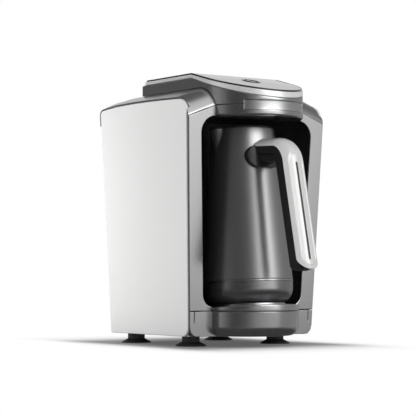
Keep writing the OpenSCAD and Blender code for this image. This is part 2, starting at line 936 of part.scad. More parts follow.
module start_button() color("#2b2e33") place() on_panel(0) translate([0, button_v, 0])
  difference() {
    union() {
      translate([0, 0, -1.2]) cylinder(r = button_r, h = 1.2 + lens_up + 0.5);
      translate([0, 0, -1.3]) cylinder(r = button_r + 1.4, h = 1.2);
      translate([0, 0, stem_end]) cylinder(r = 1.6, h = 3);
    }
    translate([0, 0, lens_up]) cylinder(r = button_r - 1.4, h = 2);
  }

spring_r = 5.2;
spring_wire = 0.45;
board_down = 6.5;
switch_h = 1.8;
stem_end = -board_down + switch_h + button_travel + 0.1;
module button_spring() color("#b9bdc3") place() on_panel(0) translate([0, button_v, 0])
  for (i = [0:3])
    translate([0, 0, -board_down + spring_wire + i * spring_pitch]) {
      rotate_extrude() translate([spring_r, 0]) circle(r = spring_wire, $fn = 16);
      if (i < 3)
        rotate([0, 0, 180 * i]) translate([spring_r, 0, 0])
          cylinder(r = spring_wire / 2, h = spring_pitch, $fn = 16);
    }
spring_pitch = (board_down - 1.3 - 2 * spring_wire) / 3;

module control_board() color("#2f6b3c") place() on_panel(-board_down - board_t)
  difference() {
    translate([-key_board_w / 2, key_board_v, 0]) cube([key_board_w, key_board_l, board_t]);
    for (x = [-board_hole_x, board_hole_x])
      translate([x, board_hole_v, -1]) cylinder(r = screw_r + fit_gap, h = 9);
  }

module button_switch() color("#4a4d52") place() on_panel(-board_down) translate([0, button_v, 0]) {
  translate([-3, -3, 0]) cube([6, 6, 1.2]);
  cylinder(r = 1.7, h = switch_h);
}

module lamp_pipe() color("#d6e6ee") place() on_panel(-board_down)
  for (x = [-lamp_x, lamp_x])
    translate([x, button_v, 0]) cylinder(r = lamp_r, h = board_down - seam);
lamp_x = 19;
lamp_r = 1.6;

module buzzer() color("#17181a") place() on_panel(-board_down - board_t)
  translate([board_hole_x - 11, board_hole_v + 8, -buzzer_h])
    difference() {
      cylinder(r = buzzer_r, h = buzzer_h);
      translate([0, 0, -1]) cylinder(r = buzzer_r / 5, h = 4);
    }
buzzer_r = 5;
buzzer_h = 5.5;

module sensor_window() color("#5b2226") place() translate([0, sensor_y, ceiling_z]) {
  cylinder(r = sensor_r, h = liner_t);
  translate([0, 0, liner_t]) cylinder(r = sensor_r + 2, h = 1.2);
}

module sensor_board() color("#2f6b3c") place() translate([0, sensor_y, ceiling_z + liner_t + 1.2]) {
  translate([-eye_board_w / 2, -0.4 * eye_board_w, 0]) cube([eye_board_w, 0.8 * eye_board_w, board_t]);
  translate([0, 0, board_t]) cylinder(r = 2.5, h = 4);
}
eye_board_w = 24;

// ---------- electrics in the base ----------

module power_board() color("#2f6b3c") place() translate([0, 0, board_z])
  difference() {
    block(-board_x - board_rim, board_x + board_rim, board_ys[0] - board_rim, board_ys[1] + board_rim,
          0, board_t);
    for (x = [-board_x, board_x], y = board_ys)
      translate([x, y, -1]) cylinder(r = screw_r + fit_gap, h = 9);
  }

board_rim = 5;
board_mid = (board_ys[0] + board_ys[1]) / 2;
core_l = 28;
core_h = 24;
module transformer() color("#a8761f") place() translate([-18, board_mid, board_z + board_t]) {
  block(-core_l / 2, core_l / 2, -0.4 * core_l, 0.4 * core_l, 0, core_h);
  block(-core_l / 3, core_l / 3, -core_l / 2, core_l / 2, core_h / 6, core_h * 5 / 6);
}

relay_l = 20;
relay_h = 16;
module relay() color("#2757a5") place() translate([20, board_mid, board_z + board_t])
  block(-relay_l / 2, relay_l / 2, -0.4 * relay_l, 0.4 * relay_l, 0, relay_h);

module board_screws() color("#b9bdc3") place() {
  for (x = [-board_x, board_x], y = board_ys)
    translate([x, y, board_z + board_t + screw_head_h]) mirror([0, 0, 1]) screw(8);
  for (x = [-board_hole_x, board_hole_x])
    on_panel(-board_down + screw_head_h) translate([x, board_hole_v, 0]) mirror([0, 0, 1]) screw(8);
}

// contact block behind the seat, in the pot's frame
block_w = 34;
block_s = pot_r_seam + 1.8;
block_l = 24;
block_top = 18;
block_bot = -5;
socket_t = 12;
module contact_block() color("#17181a") place() on_seat()
  difference() {
    block(-block_w / 2, block_w / 2, block_s, block_s + block_l, block_bot, block_top);
    for (i = [-1, 0, 1])
      translate([i * pin_pitch, 0, socket_t]) rotate([-90, 0, 0]) cylinder(r = pin_r, h = 100);
  }

module contact_pins() color("#d9b25a") place() on_seat()
  for (i = [-1, 0, 1])
    translate([i * pin_pitch, socket_s - pin_in, socket_t]) rotate([-90, 0, 0])
      cylinder(r = pin_r, h = block_s + block_l + 2 - socket_s + pin_in);

// ---------- pot ----------

module pot_body() color("#4b4e53") place() on_seat()
  difference() {
    union() {
      rotate_extrude() {
        polygon([[0, cup_h], [pot_r_seam, cup_h], [pot_edge_r, pot_h - rim_r], [0, pot_h - rim_r]]);
        intersection() {
          translate([pot_edge_r - rim_r, pot_h - rim_r]) circle(r = rim_r);
          square([far, far]);
        }
        translate([0, pot_h - rim_r - 1]) square([pot_edge_r - rim_r, rim_r + 1]);
      }
      lip_cone(0);
    }
    rotate_extrude() {
      polygon([[0, cup_h + pot_wall], [pot_r_seam - pot_wall - 1.5, cup_h + pot_wall],
               [pot_r_seam - pot_wall - 0.2, cup_h + pot_wall + 1.5],
               [pot_edge_r - pot_wall, pot_h - rim_r], [0, pot_h - rim_r]]);
      intersection() {
        translate([pot_edge_r - rim_r, pot_h - rim_r]) circle(r = rim_r - pot_wall);
        square([far, far]);
      }
      translate([0, pot_h - rim_r - 1]) square([pot_edge_r - rim_r, rim_r + 5]);
    }
    lip_cone(pot_wall * norm([1, lip_slope]) / lip_slope);
  }
pot_edge_r = pot_r_top + rim_r * pot_lean;

// the cone of the pouring lip, on the left of the rim, moved up
lip_slope = (lip_r - 1) / lip_h;
module lip_cone(up) {
  translate([lip_r - lip_out - pot_r_top, 0, pot_h - lip_h + up]) cylinder(r1 = 1, r2 = lip_r, h = lip_h);
}

ring_h = 1.6;
module pot_ring() color("#c9ccd0") place() on_seat()
  translate([0, 0, cup_h - ring_h])
    tube(pot_r_seam + 0.2, pot_r_seam - 3, ring_h);

module pot_cup() color("#232427") place() on_seat()
  difference() {
    rotate_extrude()
      difference() {
        intersection() {
          rounded([[0, 0], [cup_r, 0], [pot_r_seam, cup_h - ring_h], [0, cup_h - ring_h]],
                  [0, cup_edge, 0, 0]);
          square([far, cup_h - ring_h]);
        }
        rounded([[0, cup_wall], [cup_r - cup_wall, cup_wall], [pot_r_seam - cup_wall, cup_h], [0, cup_h]],
                [0, cup_edge - cup_wall, 0, 0]);
      }
    translate([0, 0, -1]) cylinder(r = bottom_r + fit_gap, h = 9);
    on_socket(seam / 2);
  }
bottom_r = cup_r - cup_edge - 1.2;
bottom_lip = 2;
socket_w = 30;
socket_s = block_s - 5;
socket_in = 16;
socket_z0 = 6.5;
socket_z1 = 17.5;

// the socket's outline, grown by g
module on_socket(g) {
  block(-socket_w / 2 - g, socket_w / 2 + g, socket_s - socket_in, far, socket_z0 - g, socket_z1 + g);
}

module pot_socket() color("#111214") place() on_seat()
  difference() {
    union() {
      block(-socket_w / 2, socket_w / 2, socket_s - socket_in, socket_s, socket_z0, socket_z1);
      // foot on the cup's floor
      block(-5, 5, bottom_r + bottom_lip + seam, bottom_r + 2 * bottom_lip, cup_wall, socket_z0 + 1);
    }
    for (i = [-1, 0, 1])
      translate([i * pin_pitch, socket_s - pin_in - 3, socket_t]) rotate([-90, 0, 0])
        cylinder(r = pin_r + pin_gap, h = 30);
  }

heater_t = 1.8;
coil_r = 3.2;
module heater_plate() color("#b9bdc3") place() on_seat()
  translate([0, 0, cup_h - heater_t]) cylinder(r = pot_r_seam - 8.2, h = heater_t);

module heater_ring() color("#7b5a3a") place() on_seat()
  difference() {
    translate([0, 0, cup_h - heater_t - coil_r])
      rotate_extrude() translate([pot_r_seam - 24.2, 0]) circle(r = coil_r, $fn = 32);
    translate([0, 0, cup_h - heater_t]) cylinder(r = pot_r_seam, h = cup_h);
  }

stat_r = 9;
module thermostat() color("#8c8f94") place() on_seat()
  translate([0, 0, cup_h - heater_t - stat_r]) {
    cylinder(r = stat_r, h = stat_r);
    translate([-stat_r - 2, -2.5, 0]) cube([2 * stat_r + 4, 5, 3]);
  }

module pot_bottom() color("#17181a") place() on_seat()
  difference() {
    union() {
      cylinder(r = bottom_r, h = cup_wall);
      translate([0, 0, cup_wall]) cylinder(r = bottom_r + bottom_lip, h = 1.2);
    }
    for (i = [0:2])
      rotate([0, 0, 120 * i]) translate([bottom_r - 5, 0, -1]) cylinder(r = 1.6, h = 9);
  }

// ---------- handle, in the pot's frame ----------

// runs an outline (X = distance from the bend's centre, Y = width) along the handle
module sweep(arm, grip) {
  translate([0, -bend_out, bend_up]) rotate([90, 0, 90]) rotate([0, 0, turn_0]) {
    rotate_extrude(angle = turn) children();
    rotate([90, 0, 0]) linear_extrude(arm) children();
    rotate([0, 0, turn]) translate([0, grip, 0]) rotate([90, 0, 0]) linear_extrude(grip) children();
  }
}

// the pot's outside, grown by g
module pot_cone(g) {
  translate([0, 0, cup_h])
    cylinder(r1 = pot_r_seam + g, r2 = pot_r_top + g, h = pot_h - cup_h);
}

// rounds the free end of the grip: an outline in the grip's own plane
module grip_end(w, r, len) {
  translate([0, -bend_out, bend_up]) rotate([90, 0, 90]) rotate([0, 0, turn_0 + turn])
    translate([-end_cut, 0, 0]) rotate([0, 90, 0]) linear_extrude(2 * end_cut)
      translate([0, -end_cut])
        rounded([[-w / 2, 0], [w / 2, 0], [w / 2, end_cut + len], [-w / 2, end_cut + len]], [0, 0, r, r]);
}

end_cut = 80;

module crown(r) {
  translate([bend_r - crown_r, 0]) circle(r = r);
}

module shell_outline() {
  difference() {
    intersection() {
      crown(crown_r);
      translate([bend_r - shell_d, -far]) square([far, 2 * far]);
    }
    crown(crown_r - shell_t);
  }
}

module core_outline() {
  translate([bend_r - shell_d - core_d, -core_w / 2]) square([core_d - seam / 2, core_w]);
  // spine that fills the shell, and land under the inner cover
  intersection() {
    crown(crown_r - shell_t);
    translate([bend_r - shell_d - 1, -5]) square([shell_d + 1, 10]);
  }
  translate([bend_r - shell_d - core_d - seam / 2, -6]) square([1, 12]);
}

module back_outline() {
  x0 = bend_r - shell_d - core_d - seam / 2;
  rounded([[x0 - back_d, -back_w / 2], [x0, -back_w / 2], [x0, back_w / 2], [x0 - back_d, back_w / 2]],
          [2.5, 0, 0, 2.5]);
}

module handle_bracket() color("#b9bdc3") place() on_seat()
  difference() {
    union() {
      intersection() {
        pot_cone(bracket_t);
        root_pad(root_w - 9, root_h - 6);
      }
      root_bore(bracket_boss, -boss_s);
    }
    pot_cone(0);
    root_bore(pilot_r, -far);
  }
bracket_t = 1.5;
bracket_boss = 2.8;

// the stadium-shaped pad on the pot's front
root_t0 = bend_up + 12.8;
root_screw_t = bend_up + 17.3;
root_r = pot_r_top + (pot_h - root_screw_t) * pot_lean;
boss_s = root_r + 6.8;
module root_pad(w, h) {
  translate([0, 0, root_t0]) rotate([90, 0, 0]) linear_extrude(far) {
    translate([-(w - h) / 2, -h / 2]) square([w - h, h]);
    for (s = [-1, 1])
      translate([s * (w - h) / 2, 0]) circle(r = h / 2);
  }
}

// a bore along the root's screw, from y0 to the pot's axis
module root_bore(r, y0) {
  translate([0, y0, root_screw_t]) rotate([-90, 0, 0]) cylinder(r = r, h = -y0);
}

module handle_core() color("#1b1c1e") place() on_seat()
  difference() {
    union() {
      intersection() {
        sweep(arm_len, grip_len - 1) core_outline();
        grip_end(core_w + 0.4, end_r - 2, grip_len - 1);
      }
      intersection() {
        pot_cone(root_t);
        root_pad(root_w, root_h);
      }
    }
    pot_cone(0.2);
    intersection() {
      pot_cone(bracket_t);
      root_pad(root_w - 8.6, root_h - 5.6);
    }
    root_bore(bracket_boss + fit_gap, -boss_s - fit_gap);
    root_bore(screw_r + fit_gap, -far);
    difference() {
      root_bore(screw_head + 0.3, -far);
      root_bore(screw_head + 1, screw_head_h - root_head_s);
    }
  }
root_head_s = root_r + 12.8;
arm_len = bend_out - pot_r_top + 3;

module handle_shell() color("#eceae6") place() on_seat()
  difference() {
    intersection() {
      sweep(arm_len, grip_len) shell_outline();
      grip_end(grip_w + 2, end_r, grip_len);
    }
    pot_cone(root_t + 0.5);
    // groove down the middle of the grip
    translate([0, -bend_out, bend_up]) rotate([90, 0, 90]) rotate([0, 0, turn_0 + turn])
      translate([bend_r - slot_d, 2, -slot_w / 2]) cube([9, slot_len, slot_w]);
  }

module handle_back() color("#26282b") place() on_seat()
  difference() {
    intersection() {
      sweep(arm_len, grip_len - 3) back_outline();
      grip_end(back_w + 0.4, end_r - 2, grip_len - 3);
    }
    pot_cone(root_t + 0.3);
  }

module handle_screws() color("#b9bdc3") place() on_seat()
  translate([0, -root_head_s, root_screw_t]) rotate([-90, 0, 0]) screw(12);

base_pan();
foot_front_left();
foot_front_right();
foot_rear_left();
foot_rear_right();
foot_screws();
plinth();
seat_deck();
seat_disc();
cavity_liner();
front_frame();
side_panel_left();
side_panel_right();
top_cover();
rear_cover();
case_screws();
cord_gland();
head_housing();
visor();
name_plate();
trim_ring();
control_panel();
start_button();
button_spring();
control_board();
button_switch();
lamp_pipe();
buzzer();
sensor_window();
sensor_board();
power_board();
transformer();
relay();
board_screws();
contact_block();
contact_pins();
pot_body();
pot_ring();
pot_cup();
heater_plate();
heater_ring();
thermostat();
pot_socket();
pot_bottom();
handle_bracket();
handle_core();
handle_shell();
handle_back();
handle_screws();
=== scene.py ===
import math

import bmesh
import bpy
from mathutils import Matrix, Vector

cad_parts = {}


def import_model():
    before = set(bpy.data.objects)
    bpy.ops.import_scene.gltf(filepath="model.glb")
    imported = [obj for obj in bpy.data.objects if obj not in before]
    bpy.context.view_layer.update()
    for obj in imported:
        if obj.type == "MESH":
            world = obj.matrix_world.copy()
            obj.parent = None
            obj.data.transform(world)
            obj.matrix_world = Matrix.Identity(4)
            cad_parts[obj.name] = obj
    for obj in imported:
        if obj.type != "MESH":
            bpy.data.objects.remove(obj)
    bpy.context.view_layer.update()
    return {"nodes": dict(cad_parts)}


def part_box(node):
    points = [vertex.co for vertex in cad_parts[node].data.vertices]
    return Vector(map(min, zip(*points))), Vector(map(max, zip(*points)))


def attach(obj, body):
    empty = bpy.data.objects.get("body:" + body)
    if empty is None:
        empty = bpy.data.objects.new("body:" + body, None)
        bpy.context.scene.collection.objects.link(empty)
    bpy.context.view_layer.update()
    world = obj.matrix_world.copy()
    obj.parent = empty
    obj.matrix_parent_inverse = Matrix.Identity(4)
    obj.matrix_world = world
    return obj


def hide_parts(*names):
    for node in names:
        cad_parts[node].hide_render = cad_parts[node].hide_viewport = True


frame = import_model()

MM = 0.001


def low_corner(node):
    return Vector(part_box(node)[0]) / MM


def high_corner(node):
    return Vector(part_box(node)[1]) / MM


# ---------- lines of the machine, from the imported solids, in millimetres ----------

BODY_HALF = high_corner("side_panel_right").x
SHOULDER_Z = high_corner("side_panel_right").z
BASE_Z = low_corner("side_panel_right").z
PLINTH_TOP = high_corner("plinth").z
VISOR_Z = low_corner("visor").z
HEAD_R = high_corner("head_housing").x
# the head's round front is centred on this line, and the case's depths are measured from it
BAY_Y = low_corner("visor").y + HEAD_R

# ---------- sizes of the case, in millimetres ----------

FRONT_LEAN = math.tan(math.radians(2.7))
# from the line of the bay to the front plane and to the rear end of the footprint
FRONT_REACH = 15.5
REAR_REACH = 141.0
# the nose below the bay: its reach, and its draft towards the foot
NOSE_R = 47.6
NOSE_DRAFT = math.tan(math.radians(3.2))
# a side panel's front edge lies this far behind the front plane, a shadow gap opens there
# towards the shoulder, and the lower front corner has this radius
PANEL_BACK = 3.0
PANEL_GAP = 1.1
PANEL_CORNER = 7.0
# above this height lie the slopes of the shoulders
SLOPE_Z = 205.0
# bow of the long top edges: how far up the panel it fades, its length, rise and number of steps
BOW_FADE = 20.0
BOW_LENGTH = 145.0
BOW_RISE = 1.5
BOW_STEPS = 14
# swelling of the sloping shoulders: its rise, its fade-in behind the bay's line and its steps
CROWN_RISE = 1.1
CROWN_FADE = (4.0, 24.0)
CROWN_STEPS = 9
# rounded lower edge of the visor
VISOR_EDGE = 2.6
# an edge whose faces turn by more than this is a corner, and not the seam of a slope
CORNER_TURN = math.radians(60)
# the plate on the visor: width of its raised border and depth of the field inside it
PLATE_INSET = 0.8
PLATE_DEPTH = 0.25

# ---------- sizes of the pot, in millimetres ----------

# lean of the seat and the pot; the pot's height, its radii at the rim and at the seam ring,
# its wall and the number of faces round it
POT_TILT = math.radians(4.1)
POT_H = 168.5
POT_TOP_R = 30.4
POT_SEAM_R = 42.2
POT_WALL = 1.2
POT_STEPS = 256
# radius of the rolled rim, height of the cup with the seam ring, and height of that ring
RIM_R = 3.2
CUP_H = 22.0
RING_H = 1.6
# inside this radius lies the pot's floor
FLOOR_R = 20.0
# heights of the rings of faces below the lip, and their spacing behind it
BODY_RINGS = [60, 100, 138]
LIP_RING_GAP = 2.2
# pouring lip: how far it stands out, its radius at the rim and at its lower end, and its height
LIP_OUT = 8.0
LIP_R = 9.0
LIP_LOW_R = 1.0
LIP_H = 26.0
# how softly the lip runs out into the wall
LIP_BLEND = 2.5
LIP_FADE = 8.0

# ---------- sizes of the handle, in millimetres ----------

# the middle of its bend in the pot's own frame, the bend's radius and the lean of both arms
BEND_OUT = 56.8
BEND_UP = 125.2
BEND_R = 27.0
ARM_DIP = math.radians(6.5)
GRIP_LEAN = math.radians(8.4)
BEND_FROM = math.pi / 2 + ARM_DIP
BEND_TO = math.pi - GRIP_LEAN
BEND_LEN = BEND_R * (BEND_TO - BEND_FROM)
GRIP_LEN = 103.0
GRIP_END = BEND_LEN + GRIP_LEN
# the shell: width, depth of its arched back, wall, radius of its rounded tip, and how far
# the tip turns down over the two lengths before and past the grip's end
SHELL_W = 24.0
SHELL_D = 7.0
SHELL_T = 2.0
SHELL_END = 11.4
END_CURL = 1.6
CURL_RUN = (8.0, 1.5)
CREST_R = ((SHELL_W / 2) ** 2 + SHELL_D ** 2) / (2 * SHELL_D)
# the root pad's thickness on the pot's wall; the arm is shorter than this reach, and its
# length is found by halving the reach so many times
CORE_GAP = 5.1
ROOT_REACH = 32.0
ROOT_HALVINGS = 24
# finger dish: half its width, its depth, how far its side slopes reach inside and outside that
# width, where it starts and ends, and the lengths over which it widens and deepens
DISH_HALF = 8.4
DISH_DEPTH = 1.5
DISH_SLOPE = (1.9, 0.3)
DISH_START = BEND_LEN * 0.55
DISH_END = GRIP_END - 3.2
DISH_WIDENING = 16.0
DISH_DEEPENING = 20.0
# groove along the dish: its ends, measured from the end of the bend, half its width, its
# depth, and the shares of that half between which its wall rises
GROOVE_FROM = 2.0
GROOVE_TO = 94.0
GROOVE_HALF = 1.2
GROOVE_DEPTH = 1.0
GROOVE_WALL = (0.72, 1.05)
# rows of the shell's grid: on the arm, in the bend, and (from, to, spacing) along the grip
ARM_ROWS = 26
BEND_ROWS = 36
GRIP_ROWS = [(0.0, 5.5, 0.5), (5.5, 88.0, 1.5), (88.0, 96.0, 0.4)]
# vertices sunk by more than this share of the groove's depth belong to its floor, which is painted dark as
# shade
GROOVE_FLOOR = 0.6
# columns of the grid from the middle to the edge, close at the groove's wall and the dish's slope
SHELL_COLUMNS = [
    0.5, 0.8, 0.95, 1.1, 1.26, 1.6, 2.2, 3.2, 4.2, 5.2, 6.2, 6.9, 7.6, 8.3, 9, 9.7, 10.4, 11.1, 11.6,
    SHELL_W / 2,
]


def front_y(z):
    """Where the leaning front plane lies at that height."""
    return BAY_Y - FRONT_REACH + (SHOULDER_Z - z) * FRONT_LEAN


# from the pot's own frame, foot on the seat and axis along Z, to the machine:
# the seam ring's middle lies on the pot's axis
POT_PLACE = (
    Matrix.Translation((low_corner("pot_ring") + high_corner("pot_ring")) / 2 * MM)
    @ Matrix.Rotation(-POT_TILT, 4, "X")
    @ Matrix.Scale(MM, 4)
    @ Matrix.Translation((0, 0, RING_H / 2 - CUP_H))
)


# ---------- small tools ----------


def linear(hex_colour):
    """An sRGB hex value as the linear colour that a socket takes."""
    parts = [int(hex_colour[i:i + 2], 16) / 255 for i in (1, 3, 5)]
    return [p / 12.92 if p <= 0.04045 else ((p + 0.055) / 1.055) ** 2.4 for p in parts] + [1.0]


def add(tree, kind, values=None, links=None, **settings):
    """A new node with its settings, input values and links."""
    made = tree.nodes.new(kind)
    for name, value in settings.items():
        setattr(made, name, value)
    for name, value in (values or {}).items():
        made.inputs[name].default_value = value
    for name, source in (links or {}).items():
        tree.links.new(source, made.inputs[name])
    return made


def new_object(name, mesh):
    made = bpy.data.objects.new(name, mesh)
    bpy.context.scene.collection.objects.link(made)
    return made


def even_normals(made):
    """Wide faces keep their own direction, so that narrow rounded edges take all the turn."""
    even = made.modifiers.new("even", "WEIGHTED_NORMAL")
    even.keep_sharp = True
    even.weight = 100


def soften(bm, sharp_angle):
    """Smooth shading, with edges kept sharp where the faces turn by more than that angle."""
    for face in bm.faces:
        face.smooth = True
    for edge in bm.edges:
        turn = edge.calc_face_angle(0.0)
        edge.smooth = turn < math.radians(sharp_angle)


def place_piece(name, bm, material, body, nodes, sharp_angle=35):
    """Makes the mesh a piece that stands for those nodes."""
    soften(bm, sharp_angle)
    mesh = bpy.data.meshes.new(name)
    bm.to_mesh(mesh)
    bm.free()
    made = new_object(name, mesh)
    made.data.materials.append(material)
    even_normals(made)
    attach(made, body)
    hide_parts(*nodes)
    return made


def merged_copy(node):
    """The node's loose triangles as a closed mesh with plain flat faces."""
    bm = bmesh.new()
    bm.from_mesh(frame["nodes"][node].data)
    bmesh.ops.remove_doubles(bm, verts=bm.verts, dist=0.002 * MM)
    bmesh.ops.dissolve_limit(bm, angle_limit=math.radians(0.4), verts=bm.verts, edges=bm.edges)
    return bm


def bevel(bm, edges, radius, segments, loop_slide=True):
    """Those edges rounded by a radius in millimetres."""
    bmesh.ops.bevel(
        bm, geom=edges, offset=radius * MM, offset_type="OFFSET", segments=segments,
        profile=0.5, affect="EDGES", clamp_overlap=False, loop_slide=loop_slide, material=-1,
        miter_outer="SHARP", miter_inner="SHARP",
    )


def round_edges(bm, radius, segments=3, angle=32):
    """Every edge rounded whose faces turn by more than that angle."""
    sharp = [
        edge for edge in bm.edges
        if len(edge.link_faces) == 2 and edge.calc_face_angle() > math.radians(angle)
    ]
    bevel(bm, sharp, radius, segments)


def finished_node(node, name, material, body, edge, segments=3):
    """The node with its sharp edges rounded by that radius."""
    bm = merged_copy(node)
    round_edges(bm, edge, segments)
    return place_piece(name, bm, material, body, [node])


def smooth(value, low, high):
    """0 up to low, 1 from high on, and a soft step between them."""
    share = min(max((value - low) / (high - low), 0), 1)
    return share * share * (3 - 2 * share)


def paint(node, material):
    """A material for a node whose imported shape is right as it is."""
    slots = frame["nodes"][node].data.materials
    slots.clear()
    slots.append(material)


# ---------- materials ----------


def surface(name, colour, shade, roughness, spread, grain, bump, **shader_values):
    """A shader whose colour, gloss and relief vary with a grain.

    The grain's size and the depth of its bump are in millimetres, and spread is how far
    the roughness varies either way.
    """
    made = bpy.data.materials.new(name)
    made.use_nodes = True
    tree = made.node_tree
    shader = tree.nodes["Principled BSDF"]
    for key, value in shader_values.items():
        shader.inputs[key.replace("_", " ")].default_value = value
    place = add(tree, "ShaderNodeTexCoord")
    grain_noise = add(
        tree, "ShaderNodeTexNoise", {"Scale": 1 / (grain * MM), "Detail": 3.0, "Roughness": 0.55},
        {"Vector": place.outputs["Object"]},
    )
    colour_mix = add(
        tree, "ShaderNodeMix", {6: linear(colour), 7: linear(shade)}, {0: grain_noise.outputs["Fac"]},
        data_type="RGBA",
    )
    tree.links.new(colour_mix.outputs[2], shader.inputs["Base Color"])
    gloss = add(
        tree, "ShaderNodeMapRange",
        {"From Min": 0.3, "From Max": 0.7, "To Min": roughness - spread, "To Max": roughness + spread},
        {"Value": grain_noise.outputs["Fac"]},
    )
    tree.links.new(gloss.outputs["Result"], shader.inputs["Roughness"])
    relief = add(
        tree, "ShaderNodeBump", {"Strength": 1.0, "Distance": bump * MM},
        {"Height": grain_noise.outputs["Fac"]},
    )
    tree.links.new(relief.outputs["Normal"], shader.inputs["Normal"])
    return made


def white_gloss_abs():
    # ABS from a polished mould: clean white with a clear gloss and a hardly visible waviness
    return surface("white_gloss_abs", "#ebebea", "#ecebeb", 0.2, 0.02, 40, 0.02, Coat_Weight=0.3)


def grey_lacquered_abs():
    # ABS under a metal-flake lacquer: satin grey that darkens and lights up with its surroundings
    return surface("grey_lacquered_abs", "#bfbfc0", "#b9b9ba", 0.2, 0.015, 0.35, 0.0012, Metallic=0.96)


def silver_lacquered_abs():
    # ABS under a pale metallic lacquer: a bright, soft silver band
    return surface("silver_lacquered_abs", "#f6f6f7", "#eeeff0", 0.24, 0.02, 0.3, 0.003, Metallic=0.4)


def smoke_lacquered_abs():
    # ABS under a smoke-grey metallic lacquer: soft reflections, dark where its surroundings are
    return surface("smoke_lacquered_abs", "#9c9c9d", "#969697", 0.24, 0.02, 0.4, 0.002, Metallic=0.92)


def black_gloss_abs():
    # ABS from a polished mould: deep black with soft reflections
    return surface("black_gloss_abs", "#2b2b2d", "#303032", 0.36, 0.03, 25, 0.02)


def black_satin_abs():
    # glass-filled ABS from a lightly blasted mould: black with a dull sheen
    return surface("black_satin_abs", "#1f1f21", "#252527", 0.3, 0.03, 0.5, 0.006)


def textured_abs():
    # ABS from a spark-eroded mould: dark grey with a fine pebbled grain
    return surface("textured_abs", "#454546", "#3b3b3c", 0.55, 0.06, 0.9, 0.022)


def smoked_acrylic():
    # cast acrylic, smoked dark: a mirror-smooth lens that shows the room
    return surface("smoked_acrylic", "#2a2a2b", "#2e2e2f", 0.09, 0.015, 30, 0.01, Coat_Weight=1.0)


def nonstick_coat():
    # sprayed metallic non-stick coat on drawn aluminium: dark, silky, with a fine speckle
    return surface("nonstick_coat", "#a4a4a5", "#9c9c9d", 0.36, 0.02, 0.4, 0.002, Metallic=0.93)


def pearl_lacquered_abs():
    # ABS under a pearl lacquer: soft white with a clear gloss on its rounded edges
    return surface("pearl_lacquered_abs", "#dededd", "#dadad9", 0.2, 0.02, 20, 0.01, Coat_Weight=1.0)


def moulded_rubber():
    # soft moulded rubber: black, dull, with a dusty bloom
    return surface("moulded_rubber", "#38383a", "#414143", 0.6, 0.08, 2.5, 0.03)


def turned_steel():
    # stainless steel turned on a lathe and brushed: bright, with a fine satin grain
    return surface("turned_steel", "#c9cacc", "#bcbdc0", 0.28, 0.05, 0.6, 0.006, Metallic=1.0)


def satin_lacquered_abs():
    # ABS under a matt silver lacquer: a shade paler and softer than the housing round it
    return surface("satin_lacquered_abs", "#c8c8c9", "#bfbfc0", 0.3, 0.03, 0.4, 0.004, Metallic=0.94)


def plated_steel():
    # zinc-plated steel: cool grey with a slight mottling
    return surface("plated_steel", "#b4b8bd", "#a3a7ad", 0.32, 0.06, 0.8, 0.006, Metallic=1.0)


def board_laminate():
    # glass-fibre laminate under a printed solder mask: flat, slightly glossy green
    return surface("board_laminate", "#1f5a30", "#2a6b3b", 0.4, 0.05, 2.0, 0.02)


def drawn_brass():
    # drawn brass rod, slightly tarnished: warm yellow with a satin sheen
    return surface("drawn_brass", "#cfa95a", "#b9924a", 0.3, 0.05, 0.8, 0.006, Metallic=1.0)


def taped_winding():
    # amber polyester tape wound over copper wire: warm brown, slightly uneven
    return surface("taped_winding", "#a8761f", "#8f6118", 0.4, 0.05, 3.0, 0.05)


def relay_case():
    # moulded polyester case: plain blue with a faint sheen
    return surface("relay_case", "#2757a5", "#214d96", 0.35, 0.04, 3.0, 0.02)


def cast_aluminium():
    # die-cast aluminium, as cast: pale grey with a grainy skin
    return surface("cast_aluminium", "#a9abae", "#97999d", 0.45, 0.07, 0.7, 0.03, Metallic=1.0)


def oxidised_steel():
    # steel heating tube, browned by its own heat: dull, dark and mottled
    return surface("oxidised_steel", "#6a5440", "#4c3c30", 0.5, 0.08, 1.5, 0.02, Metallic=0.8)


def clear_acrylic():
    # clear moulded acrylic light guide: glassy, with a smooth surface
    return surface("clear_acrylic", "#e4eef2", "#dce8ee", 0.08, 0.02, 4.0, 0.005, Transmission_Weight=0.8)


def infrared_window():
    # moulded acrylic that passes infrared light: glossy, very dark red
    return surface("infrared_window", "#4a1519", "#3d1014", 0.12, 0.02, 5.0, 0.005, Coat_Weight=0.5)


# ---------- machine ----------


def cut_across(bm, place, normal):
    """Cuts the faces along a plane, and keeps both sides."""
    bmesh.ops.bisect_plane(
        bm, geom=bm.verts[:] + bm.edges[:] + bm.faces[:], dist=1e-7,
        plane_co=Vector(place) * MM, plane_no=normal,
    )


def bow(bm, weight):
    """The long top edges rise in a shallow bow: cuts the piece across, then lifts it."""
    for step in range(1, BOW_STEPS):
        cut_across(bm, (0, BAY_Y + BOW_LENGTH * step / BOW_STEPS, 0), (0, 1, 0))
    for vert in bm.verts:
        along = (vert.co.y / MM - BAY_Y) / BOW_LENGTH
        if 0 < along < 1:
            vert.co.z += BOW_RISE * math.sin(math.pi * along) * weight(vert.co / MM) * MM
    return bm


def crown(bm):
    """The sloping shoulders swell a little, fading out towards the front seam."""
    width = BODY_HALF - HEAD_R
    for side in (-1, 1):
        for step in range(CROWN_STEPS):
            cut_across(bm, (side * (HEAD_R + width * step / CROWN_STEPS), 0, 0), (1, 0, 0))
    for vert in bm.verts:
        spot = vert.co / MM
        aside = (abs(spot.x) - HEAD_R) / width
        if 0 < aside < 1 and spot.z > SLOPE_Z:
            fade = smooth(spot.y - BAY_Y, *CROWN_FADE)
            vert.co.z += CROWN_RISE * math.sin(math.pi * aside) * fade * MM


def near_top(spot):
    """How much of the bow a point of a side panel takes."""
    return min(max((spot.z - SLOPE_Z) / BOW_FADE, 0), 1)


